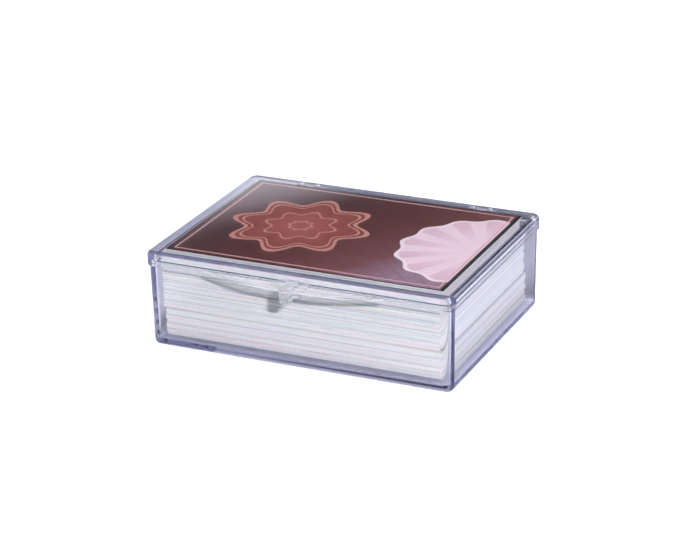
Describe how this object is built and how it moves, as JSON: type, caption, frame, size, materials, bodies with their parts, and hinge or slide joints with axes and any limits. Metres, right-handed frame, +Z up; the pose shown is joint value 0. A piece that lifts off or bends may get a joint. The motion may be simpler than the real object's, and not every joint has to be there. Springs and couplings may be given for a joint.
{
  "type": "card storage box",
  "caption": "Clear hinged box full of trading cards, with a lid that swings on snap-in rear pins and closes with a thumb lip and catch at the front.",
  "frame": {"origin": "centre of the flat underside of the tray", "axes": "+Z up, +X along the long side, -Y towards the front where the thumb lip and catch are"},
  "size_m": [0.098, 0.0839, 0.0301],
  "materials": {
    "clear_plastic": "crystal clear moulded polystyrene with polished faces",
    "printed_card": null,
    "card_stock": "cut edges of white card stock with faint print tints"
  },
  "bodies": {
    "base": {"base_tray": "clear_plastic", "top_card": "printed_card", "card_pack_01": "card_stock", "card_pack_02": "card_stock", "card_pack_03": "card_stock", "card_pack_04": "card_stock", "card_pack_05": "card_stock", "card_pack_06": "card_stock", "card_pack_07": "card_stock", "card_pack_08": "card_stock", "card_pack_09": "card_stock", "card_pack_10": "card_stock", "card_pack_11": "card_stock", "card_pack_12": "card_stock", "card_pack_13": "card_stock", "card_pack_14": "card_stock", "card_pack_15": "card_stock", "card_pack_16": "card_stock", "card_pack_17": "card_stock", "card_pack_18": "card_stock", "card_pack_19": "card_stock", "card_pack_20": "card_stock"},
    "lid": {"lid": "clear_plastic"}
  },
  "joints": [
    {"name": "lid_hinge", "type": "hinge", "parent": "base", "child": "lid", "pos_m": [0, 0.0387, 0.0255], "axis": [-1, 0, 0], "range_deg": [0, 180]}
  ]
}
